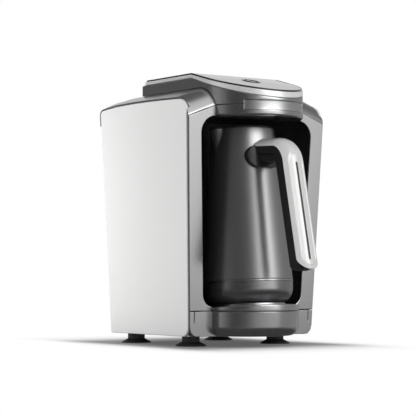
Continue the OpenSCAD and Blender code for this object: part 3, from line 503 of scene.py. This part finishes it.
def near_side(spot):
    """How much of the bow a point of the cover takes."""
    if spot.z <= SLOPE_Z:
        return 0
    return min(max((abs(spot.x) - HEAD_R) / (BODY_HALF - HEAD_R), 0), 1)


def behind_front(vert):
    """Distance in millimetres behind the leaning front plane."""
    return vert.co.y / MM - front_y(vert.co.z / MM)


def lower_front_corner(bm):
    """The short edges across the panel's wall at its lower front corner."""
    return [
        edge for edge in bm.edges
        if max(vert.co.z for vert in edge.verts) < (BASE_Z + 1) * MM
        and max(behind_front(vert) for vert in edge.verts) < 2
        and edge.calc_face_angle(0.0) > CORNER_TURN
    ]


def side_panel(side, material):
    """The panel in its gloss finish; the upper end of its front edge draws back for the gap."""
    name = "side_panel_" + side
    bm = bow(merged_copy(name), near_top)
    for vert in bm.verts:
        if behind_front(vert) < PANEL_BACK + 0.02 and vert.co.z > PLINTH_TOP * MM:
            vert.co.y += PANEL_GAP * MM
    bevel(bm, lower_front_corner(bm), PANEL_CORNER, segments=10, loop_slide=False)
    round_edges(bm, radius=1.1)
    place_piece("gloss_panel_" + side, bm, material, "machine", [name])


def shoulders(material):
    """The grey cover over both shoulders, bowed along and crowned across."""
    bm = bow(merged_copy("top_cover"), near_side)
    crown(bm)
    round_edges(bm, radius=0.6)
    place_piece("shoulder_cover", bm, material, "machine", ["top_cover"])


def plinth(material):
    """The nose draws in towards its foot; the flat corners beside it stay as they are."""
    bm = merged_copy("plinth")
    for vert in bm.verts:
        beyond = BAY_Y - FRONT_REACH - vert.co.y / MM
        if beyond > 0:
            share = beyond / (NOSE_R - FRONT_REACH)
            vert.co.y += share * (PLINTH_TOP * MM - vert.co.z) * NOSE_DRAFT
    round_edges(bm, radius=0.5)
    place_piece("bulged_plinth", bm, material, "machine", ["plinth"])


def meets_frame(face):
    """True for the flat rear faces by which the visor meets the front frame."""
    behind = face.calc_center_median().y > (front_y(VISOR_Z) - 2) * MM
    return behind and abs(face.normal.y) >= 0.9


def visor(material):
    """The band below the panel, with a soft lower edge at its front and sides."""
    bm = merged_copy("visor")
    lower_edge = [
        edge for edge in bm.edges
        if max(vert.co.z for vert in edge.verts) < (VISOR_Z + 0.5) * MM
        and len(edge.link_faces) == 2
        and edge.calc_face_angle() > CORNER_TURN
        and not any(meets_frame(face) for face in edge.link_faces)
    ]
    bevel(bm, lower_edge, VISOR_EDGE, segments=6)
    round_edges(bm, radius=0.4)
    place_piece("head_visor", bm, material, "machine", ["visor"])


def housings(material):
    finished_node("front_frame", "bay_frame", material, "machine", edge=0.7)
    shoulders(material)
    finished_node("seat_deck", "ledge_deck", material, "machine", edge=1.2)
    finished_node("head_housing", "head_case", material, "machine", edge=0.5)
    visor(material)
    plinth(material)


def name_plate(material):
    """The bare plate: a narrow raised border round a plain field."""
    bm = merged_copy("name_plate")
    bm.normal_update()
    axis = Vector((0, BAY_Y, 0)) * MM
    outer = []
    for face in bm.faces:
        out = face.calc_center_median() - axis
        out.z = 0
        if face.normal.dot(out.normalized()) > 0.9:
            outer.append(face)
    bmesh.ops.inset_region(
        bm, faces=outer, thickness=PLATE_INSET * MM, depth=-PLATE_DEPTH * MM, use_even_offset=True,
    )
    round_edges(bm, radius=0.12, segments=2)
    place_piece("blank_plate", bm, material, "machine", ["name_plate"])


def build_machine():
    white = white_gloss_abs()
    grey = grey_lacquered_abs()
    for side in ("left", "right"):
        side_panel(side, white)
    housings(grey)
    finished_node("rear_cover", "back_cover", textured_abs(), "machine", edge=0.8)
    finished_node("trim_ring", "silver_trim", silver_lacquered_abs(), "machine", edge=0.5)
    smoked = smoked_acrylic()
    finished_node("control_panel", "touch_lens", smoked, "machine", edge=1.5, segments=5)
    finished_node("start_button", "oval_button", smoked, "start_button", edge=0.4)
    name_plate(satin_lacquered_abs())
    paint("cavity_liner", black_gloss_abs())
    paint("seat_disc", turned_steel())
    rubber = moulded_rubber()
    for corner in ("front_left", "front_right", "rear_left", "rear_right"):
        finished_node("foot_" + corner, "suction_foot_" + corner, rubber, "machine", edge=0.5)
    paint("cord_gland", rubber)
    satin = black_satin_abs()
    for node in ("base_pan", "contact_block", "button_switch", "buzzer"):
        paint(node, satin)
    plated = plated_steel()
    for node in ("foot_screws", "case_screws", "board_screws", "button_spring"):
        paint(node, plated)
    laminate = board_laminate()
    for node in ("control_board", "sensor_board", "power_board"):
        paint(node, laminate)
    paint("lamp_pipe", clear_acrylic())
    paint("sensor_window", infrared_window())
    paint("transformer", taped_winding())
    paint("relay", relay_case())
    paint("contact_pins", drawn_brass())


# ---------- pot ----------


def spun(profile, steps):
    """The profile, pairs of radius and height, turned once round the Z axis."""
    bm = bmesh.new()
    verts = [bm.verts.new((s, 0, t)) for s, t in profile]
    edges = [bm.edges.new(pair) for pair in zip(verts, verts[1:])]
    bmesh.ops.spin(
        bm, geom=verts + edges, cent=(0, 0, 0), axis=(0, 0, 1), dvec=(0, 0, 0),
        angle=math.tau, steps=steps, use_merge=True, use_duplicate=False,
    )
    bmesh.ops.remove_doubles(bm, verts=bm.verts, dist=0.001)
    bmesh.ops.recalc_face_normals(bm, faces=bm.faces)
    return bm


def arc(centre, radius, start, end, steps):
    """Points of an arc between two angles in degrees."""
    turns = [math.radians(start + (end - start) * i / steps) for i in range(steps + 1)]
    return [(centre[0] + radius * math.cos(a), centre[1] + radius * math.sin(a)) for a in turns]


def pot_radius(height):
    """Outer radius of the tapered wall."""
    return POT_SEAM_R - (height - CUP_H) * (POT_SEAM_R - POT_TOP_R) / (POT_H - CUP_H)


def lip_reach(angle, height):
    """Distance of the pouring lip's outside from the pot's axis, in that direction."""
    centre = POT_TOP_R + LIP_OUT - LIP_R
    radius = LIP_LOW_R + (LIP_R - LIP_LOW_R) * (height - POT_H + LIP_H) / LIP_H
    if radius <= LIP_LOW_R or math.cos(angle) <= 0:
        return 0
    aside = centre * abs(math.sin(angle))
    if aside >= radius:
        return centre * math.cos(angle) - 2 * (aside - radius)
    return centre * math.cos(angle) + math.sqrt(radius * radius - aside * aside)


def pull_lip(bm):
    """Draws the wall out to the pouring lip on the pot's left, both its sides alike."""
    for vert in bm.verts:
        height = min(vert.co.z, POT_H - RIM_R)
        radius = math.hypot(vert.co.x, vert.co.y)
        if height < POT_H - LIP_H or radius < FLOOR_R:
            continue
        gap = lip_reach(math.atan2(vert.co.y, -vert.co.x), height) - pot_radius(height)
        pull = (gap + math.hypot(gap, LIP_BLEND)) / 2 * smooth(gap, -LIP_FADE, 0)
        vert.co.x *= 1 + pull / radius
        vert.co.y *= 1 + pull / radius


def vessel_profile():
    """Outside, rolled rim and inside of the pot, as pairs of radius and height."""
    rim = (pot_radius(POT_H - RIM_R) - RIM_R, POT_H - RIM_R)
    rises = [CUP_H + 1] + BODY_RINGS + [POT_H - LIP_H + LIP_RING_GAP * i for i in range(1, 10)]
    outside = [(0.0, CUP_H), (POT_SEAM_R - 1, CUP_H), (POT_SEAM_R - 0.3, CUP_H + 0.3)]
    outside += [(pot_radius(t), t) for t in rises]
    outside += arc(rim, RIM_R, 0, 90, 10)
    inside = arc(rim, RIM_R - POT_WALL, 90, 0, 8)
    inside += [(pot_radius(t) - POT_WALL, t) for t in reversed(rises[1:])]
    foot = POT_SEAM_R - POT_WALL
    deep = CUP_H + POT_WALL
    # the rounded corner between wall and floor
    inside += [(foot - 0.3, deep + 2), (foot - 1.5, deep + 0.4), (foot - 3.5, deep), (0.0, deep)]
    return outside + inside


def build_pot():
    bm = spun(vessel_profile(), POT_STEPS)
    pull_lip(bm)
    bm.transform(POT_PLACE)
    place_piece("pot_vessel", bm, nonstick_coat(), "pot", ["pot_body"])
    finished_node("pot_ring", "seam_ring", turned_steel(), "pot", edge=0.3)
    finished_node("pot_cup", "base_cup", smoke_lacquered_abs(), "pot", edge=0.4)
    black = black_gloss_abs()
    paint("pot_bottom", black)
    paint("pot_socket", black)
    cast = cast_aluminium()
    paint("heater_plate", cast)
    paint("thermostat", cast)
    paint("heater_ring", oxidised_steel())


# ---------- handle ----------


def along_handle(way, rise, aside):
    """A point of the pot's frame: way along the handle's back from the start of the bend,
    rise from the bend's centre line, aside across the handle."""
    turn = BEND_FROM
    run = 0.0
    if way < 0:
        run = way
    elif way < BEND_LEN:
        turn += way / BEND_R
    else:
        turn = BEND_TO
        run = way - BEND_LEN
    across = Vector((math.cos(turn), math.sin(turn)))
    onward = Vector((-across.y, across.x))
    spot = Vector((-BEND_OUT, BEND_UP)) + across * rise + onward * run
    return Vector((aside, spot.x, spot.y))


def crest(aside):
    """Height of the arched back over the bend's centre line."""
    return BEND_R - CREST_R + math.sqrt(CREST_R * CREST_R - aside * aside)


def root_way(aside):
    """Where the handle's back meets the root pad, found by halving the arm's stretch."""
    near, far = -ROOT_REACH, 0.0
    for _ in range(ROOT_HALVINGS):
        middle = (near + far) / 2
        spot = along_handle(middle, crest(aside), aside)
        inside = math.hypot(spot.x, spot.y) < pot_radius(spot.z) + CORE_GAP
        near, far = (middle, far) if inside else (near, middle)
    return far


def dish(way, aside):
    """Depth of the finger dish: flat-bottomed across, run out at both ends."""
    tip_arc = max(way - (DISH_END - DISH_HALF), 0)
    half = DISH_HALF * math.sqrt(smooth(way, DISH_START, DISH_START + DISH_WIDENING))
    half = min(half, math.sqrt(max(DISH_HALF ** 2 - tip_arc ** 2, 0)))
    if way < DISH_START or way > DISH_END or half < 0.5:
        return 0
    inner, outer = DISH_SLOPE
    slope = 1 - smooth(abs(aside), half - inner, half + outer)
    return DISH_DEPTH * slope * smooth(way, DISH_START, DISH_START + DISH_DEEPENING)


def groove(way, aside):
    """Depth of the groove, round at both ends."""
    low = BEND_LEN + GROOVE_FROM + GROOVE_HALF
    high = BEND_LEN + GROOVE_TO - GROOVE_HALF
    foot, edge = GROOVE_WALL
    reach = math.hypot(aside, way - min(max(way, low), high))
    return GROOVE_DEPTH * (1 - smooth(reach, GROOVE_HALF * foot, GROOVE_HALF * edge))


def end_curl(way):
    """How far the tip of the shell turns down, as a quarter of an ellipse."""
    before, past = CURL_RUN
    turn = smooth(way, GRIP_END - before, GRIP_END + past)
    return END_CURL * (1 - math.sqrt(1 - turn ** 2))


def end_width(way):
    """Share of its full width that the shell has there, as its tip is rounded."""
    left = GRIP_END - way
    if left >= SHELL_END:
        return 1
    round_part = math.sqrt(max(SHELL_END ** 2 - (SHELL_END - left) ** 2, 0))
    return (SHELL_W / 2 - SHELL_END + round_part) / (SHELL_W / 2)


def shell_rows():
    """Ways along the bend and the grip at which the shell's grid has a row."""
    ways = [BEND_LEN * i / BEND_ROWS for i in range(BEND_ROWS + 1)]
    for start, stop, gap in GRIP_ROWS:
        ways += [BEND_LEN + start + gap * i for i in range(1, round((stop - start) / gap) + 1)]
    ways += [GRIP_END - SHELL_END * (1 - math.sin(math.radians(a))) for a in range(20, 91, 5)]
    return sorted(set(ways))


def handle_shell(material, groove_shade_material):
    """A grid bent over the handle's back, with the dish and the groove sunk into it."""
    columns = [-aside for aside in reversed(SHELL_COLUMNS)] + [0] + SHELL_COLUMNS
    roots = {aside: root_way(aside) for aside in columns}
    rows = shell_rows()
    last_row = ARM_ROWS + len(rows) - 1
    last_column = len(columns) - 1
    in_groove = set()
    bm = bmesh.new()
    bmesh.ops.create_grid(bm, x_segments=last_row, y_segments=last_column, size=1)
    for vert in bm.verts:
        row = round((vert.co.x + 1) / 2 * last_row)
        aside = columns[round((vert.co.y + 1) / 2 * last_column)]
        if row < ARM_ROWS:
            way = roots[aside] * (1 - row / ARM_ROWS)
        else:
            way = rows[row - ARM_ROWS]
            aside *= end_width(way)
        rise = crest(aside) - dish(way, aside) - groove(way, aside) - end_curl(way)
        vert.co = along_handle(way, rise, aside)
        if groove(way, aside) > GROOVE_FLOOR * GROOVE_DEPTH:
            in_groove.add(vert)
    for face in bm.faces:
        # painted shade: the groove's floor takes the second, black material, dark as in a deep slot
        if in_groove.issuperset(face.verts):
            face.material_index = 1
    bmesh.ops.recalc_face_normals(bm, faces=bm.faces)
    if sum(face.normal.z for face in bm.faces) < 0:
        bmesh.ops.reverse_faces(bm, faces=bm.faces)
    bmesh.ops.solidify(bm, geom=bm.faces[:], thickness=SHELL_T)
    bm.transform(POT_PLACE)
    round_edges(bm, radius=0.45, angle=50)
    made = place_piece("grip_shell", bm, material, "pot", ["handle_shell"], sharp_angle=50)
    made.data.materials.append(groove_shade_material)


def build_handle():
    satin = black_satin_abs()
    finished_node("handle_core", "grip_core", satin, "pot", edge=0.5)
    finished_node("handle_back", "grip_back", satin, "pot", edge=0.5)
    # the black satin also paints shade on the floor of the handle's groove
    handle_shell(pearl_lacquered_abs(), satin)
    steel = plated_steel()
    paint("handle_bracket", steel)
    paint("handle_screws", steel)


# ---------- studio ----------


# painted contact shadow: colour of the paper under the machine, and the paper's own colour far from it
PAINTED_CONTACT_SHADOW = "#7c7c7c"
PAPER = "#fafafa"
# the painted shadow under the machine fades this much faster to its sides
SIDE_FADE = 2.5
# distances in metres between which the painted shadow fades out, and between which the paper turns plain
# white
PAINTED_SHADOW_FADE = (-0.02, 0.1)
WHITE_FADE = (-0.01, 0.15)
# light that the paper gives off by itself
PAPER_LIFT = 0.1
# level of the plain light from all round that matt surfaces get
ROOM_LEVEL = 0.54


def footprint_distance(tree):
    """Distance on the floor from the rectangle under the machine."""
    place = add(tree, "ShaderNodeTexCoord")
    centre = (0, (BAY_Y + REAR_REACH / 2) * MM, 0)
    half = (BODY_HALF * MM, (REAR_REACH / 2 + FRONT_REACH) * MM, 1)
    source = place.outputs["Object"]
    for step, value in (("SUBTRACT", centre), ("ABSOLUTE", None), ("SUBTRACT", half),
                        ("MAXIMUM", (0, 0, 0)), ("MULTIPLY", (SIDE_FADE, 1, 1))):
        values = {1: value} if value else None
        source = add(tree, "ShaderNodeVectorMath", values, {0: source}, operation=step).outputs[0]
    return add(tree, "ShaderNodeVectorMath", None, {0: source}, operation="LENGTH").outputs["Value"]


def matt_paper_painted_shadow():
    # a sweep of matt paper: white all round, with a soft contact shadow painted into its colour under the
    # machine, over the shadow that the lamps cast
    material = bpy.data.materials.new("matt_paper_painted_shadow")
    material.use_nodes = True
    tree = material.node_tree
    paper = tree.nodes["Principled BSDF"]
    paper.inputs["Roughness"].default_value = 1.0
    paper.inputs["Specular IOR Level"].default_value = 0.0
    outside = footprint_distance(tree)
    shade_part, far = (
        add(tree, "ShaderNodeMapRange", {"From Min": low, "From Max": high}, {"Value": outside},
            interpolation_type="SMOOTHSTEP").outputs[0]
        for low, high in (PAINTED_SHADOW_FADE, WHITE_FADE)
    )
    # painted contact shadow: the paper's colour darkens from its own white to the shadow colour towards the
    # machine
    shade = add(tree, "ShaderNodeValToRGB", None, {"Fac": shade_part})
    shade.color_ramp.elements[0].color = linear(PAINTED_CONTACT_SHADOW)
    shade.color_ramp.elements[1].color = linear(PAPER)
    tree.links.new(shade.outputs["Color"], paper.inputs["Base Color"])
    path = add(tree, "ShaderNodeLightPath").outputs
    seen = path["Is Camera Ray"]
    for ray in ("Is Glossy Ray", "Is Transmission Ray"):
        seen = add(tree, "ShaderNodeMath", None, {0: seen, 1: path[ray]}, operation="MAXIMUM").outputs[0]
    share = add(tree, "ShaderNodeMath", None, {0: seen, 1: far}, operation="MULTIPLY")
    glow = add(tree, "ShaderNodeEmission", {"Strength": 1.0})
    lift = add(tree, "ShaderNodeEmission", {"Strength": PAPER_LIFT})
    near = add(tree, "ShaderNodeAddShader", None, {0: paper.outputs[0], 1: lift.outputs[0]})
    mix = add(tree, "ShaderNodeMixShader", None,
              {0: share.outputs[0], 1: near.outputs[0], 2: glow.outputs[0]})
    tree.links.new(mix.outputs[0], tree.nodes["Material Output"].inputs["Surface"])
    return material


def floor():
    bm = bmesh.new()
    bmesh.ops.create_grid(bm, x_segments=1, y_segments=1, size=12)
    mesh = bpy.data.meshes.new("pale_floor")
    bm.to_mesh(mesh)
    bm.free()
    made = new_object("pale_floor", mesh)
    made.data.materials.append(matt_paper_painted_shadow())
    made.visible_glossy = False


# levels of the studio against degrees, 0 at the front and 90 at the right, from the floor upwards
FLOOR_LEVELS = [
    (-90, 0.09), (-70, 0.1), (-50, 0.16), (-30, 0.24), (-10, 0.32), (15, 0.36), (40, 0.25),
    (60, 0.32), (110, 0.34), (150, 0.34), (200, 0.12), (250, 0.09), (270, 0.09),
]
HORIZON_LEVELS = [
    (-90, 0.24), (-80, 0.09), (-65, 0.035), (-42, 0.06), (-28, 0.26), (-14, 0.55), (4, 0.78),
    (22, 1.15), (34, 1.36), (39, 0.84), (46, 0.45), (60, 0.32), (126, 0.34), (140, 0.68), (198, 0.68),
    (208, 0.09), (236, 0.12), (243, 0.38), (256, 0.38), (270, 0.2),
]
WALL_LEVELS = [
    (-90, 0.12), (-80, 0.1), (-62, 0.12), (-24, 0.1), (-15, 0.2), (-9, 1.6), (-3, 4.0), (8, 5.2),
    (24, 5.4), (32, 3.4), (41, 1.1), (54, 0.42), (84, 0.38), (100, 0.33), (126, 0.35), (140, 0.68),
    (198, 0.68), (208, 0.08), (238, 0.1), (258, 0.13), (270, 0.12),
]
CEILING_LEVELS = [
    (-90, 0.15), (-25, 0.25), (8, 0.95), (34, 1.0), (48, 0.5), (70, 0.22), (100, 0.17),
    (150, 0.13), (230, 0.13), (270, 0.15),
]
# between these sines of the height angle, each ring of levels takes over from what lies below it
STUDIO_RINGS = [
    (-0.38, -0.1, FLOOR_LEVELS),
    (-0.15, -0.02, HORIZON_LEVELS),
    (0.1, 0.24, WALL_LEVELS),
    (0.42, 0.62, CEILING_LEVELS),
]
# a ramp holds no more than 1, so its stops are shares of this level
TOP_LEVEL = 5.5
# what lies straight below, as a share of that level
LOWEST = (0.01, 0.01, 0.01, 1)


def set_levels(ramp, levels):
    """Stops of a colour ramp from pairs of degrees and level."""
    while len(ramp.elements) < len(levels):
        ramp.elements.new(0.5)
    for element, (degrees, level) in zip(ramp.elements, levels):
        part = level / TOP_LEVEL
        element.position = (degrees + 90) / 360
        element.color = (part, part, part, 1)


def studio_level(tree):
    """What shiny surfaces see of the studio: rings of levels, blended by height."""
    place = add(tree, "ShaderNodeTexCoord")
    split = add(tree, "ShaderNodeSeparateXYZ", None, {0: place.outputs["Generated"]})
    turn = add(tree, "ShaderNodeTexGradient", None, {0: place.outputs["Generated"]}, gradient_type="RADIAL")
    below = {}
    for low, high, levels in STUDIO_RINGS:
        share = add(tree, "ShaderNodeMapRange", {"From Min": low, "From Max": high},
                    {"Value": split.outputs["Z"]}, interpolation_type="SMOOTHSTEP")
        ring = add(tree, "ShaderNodeValToRGB", None, {"Fac": turn.outputs["Fac"]})
        set_levels(ring.color_ramp, levels)
        mix = add(tree, "ShaderNodeMix", {6: LOWEST},
                  {0: share.outputs[0], 7: ring.outputs["Color"], **below}, data_type="RGBA")
        below = {6: mix.outputs[2]}
    return mix.outputs[2]


def world():
    """White behind the machine, plain light on matt surfaces, the studio in shiny ones."""
    made = bpy.data.worlds.new("studio")
    made.use_nodes = True
    tree = made.node_tree
    tree.nodes.clear()
    path = add(tree, "ShaderNodeLightPath").outputs
    plain = add(tree, "ShaderNodeBackground", {"Color": (1, 1, 1, 1), "Strength": ROOM_LEVEL})
    studio = add(tree, "ShaderNodeBackground", {"Strength": TOP_LEVEL}, {"Color": studio_level(tree)})
    white = add(tree, "ShaderNodeBackground", {"Color": (1, 1, 1, 1), "Strength": 1.0})
    glossy = add(tree, "ShaderNodeMixShader", None,
                 {0: path["Is Glossy Ray"], 1: plain.outputs[0], 2: studio.outputs[0]})
    seen = add(tree, "ShaderNodeMath", None,
               {0: path["Is Camera Ray"], 1: path["Is Transmission Ray"]}, operation="MAXIMUM")
    mix = add(tree, "ShaderNodeMixShader", None,
              {0: seen.outputs[0], 1: glossy.outputs[0], 2: white.outputs[0]})
    add(tree, "ShaderNodeOutputWorld", None, {"Surface": mix.outputs[0]})
    bpy.context.scene.world = made


def soft_light(name, at, aim, size, watts):
    """A rectangular lamp box, in metres. Shiny surfaces see the studio's levels instead of it."""
    lamp = bpy.data.lights.new(name, "AREA")
    lamp.shape = "RECTANGLE"
    lamp.size, lamp.size_y = size
    lamp.energy = watts
    made = bpy.data.objects.new(name, lamp)
    made.location = at
    made.rotation_euler = (Vector(aim) - Vector(at)).to_track_quat("-Z", "Y").to_euler()
    made.visible_glossy = False
    bpy.context.scene.collection.objects.link(made)


def lights():
    soft_light("key_box", at=(1.1, -1.6, 0.9), aim=(0, 0, 0.1), size=(1.2, 1.0), watts=11)
    soft_light("top_box", at=(0, 0.1, 2.0), aim=(0, 0, 0), size=(1.6, 1.6), watts=5)
    soft_light("fill_box", at=(-2.0, 0.15, 0.12), aim=(0, 0, 0.1), size=(1.4, 1.2), watts=9.2)
    soft_light("strip_box", at=(-0.16, 0.19, 0.09), aim=(-0.08, 0.08, 0.085), size=(0.03, 0.36), watts=0.16)


# place in metres, pitch and turn in degrees, focal length and sensor width in millimetres
CAMERA_AT = (-0.9362, -1.29715, 0.0733)
CAMERA_PITCH = 92.10
CAMERA_TURN = -34.92
FOCAL_LENGTH = 143.22
SENSOR_WIDTH = 36


def camera():
    """Low at the machine's left front, through a long lens."""
    made = bpy.data.objects.new("camera", bpy.data.cameras.new("camera"))
    made.location = CAMERA_AT
    made.rotation_euler = (math.radians(CAMERA_PITCH), 0, math.radians(CAMERA_TURN))
    made.data.lens = FOCAL_LENGTH
    made.data.sensor_width = SENSOR_WIDTH
    bpy.context.scene.collection.objects.link(made)
    bpy.context.scene.camera = made


build_machine()
build_pot()
build_handle()
floor()
world()
lights()
camera()
bpy.context.scene.view_settings.view_transform = "Standard"
